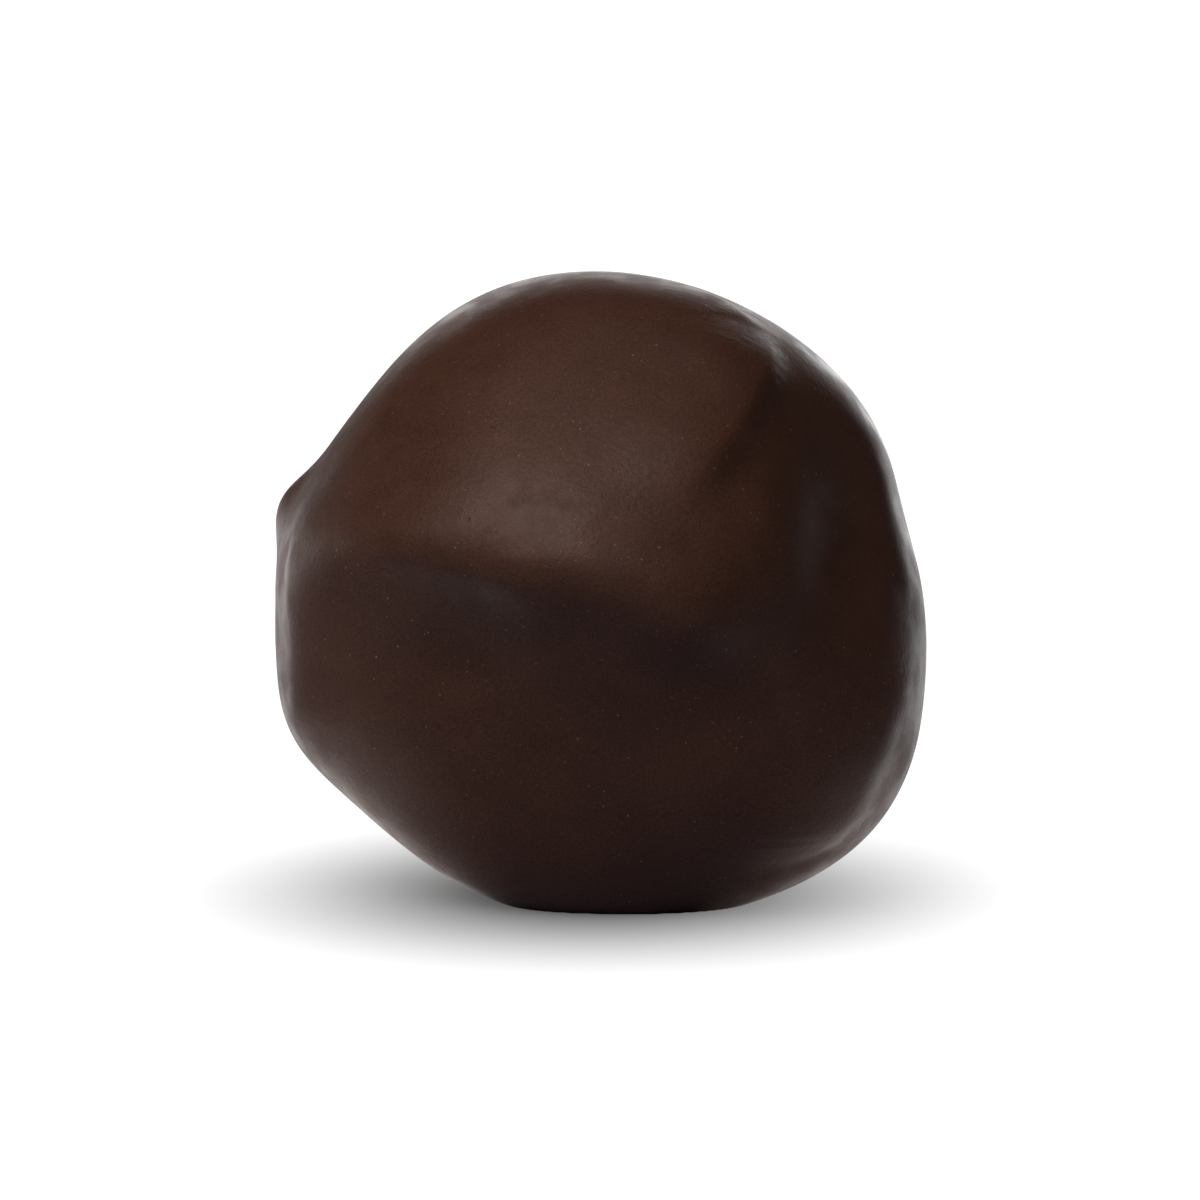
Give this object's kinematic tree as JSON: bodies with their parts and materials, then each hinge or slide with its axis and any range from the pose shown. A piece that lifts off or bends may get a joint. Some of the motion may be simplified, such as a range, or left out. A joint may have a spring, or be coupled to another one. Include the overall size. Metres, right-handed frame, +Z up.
{
  "type": "chocolate truffle",
  "caption": "Hand-rolled dark chocolate truffle: a lumpy ball with soft ridges, a thin fold and a small flat foot to rest on.",
  "frame": {"origin": "middle of the outline seen from above, at the height of the flat foot", "axes": "+Z up from the surface it rests on, the side the picture shows faces -Y, +X to its right"},
  "size_m": [0.03, 0.028, 0.0286],
  "materials": {
    "chocolate": "satin dark chocolate with a fine orange peel and pale specks"
  },
  "bodies": {
    "root": {"truffle": "chocolate"}
  },
  "joints": []
}
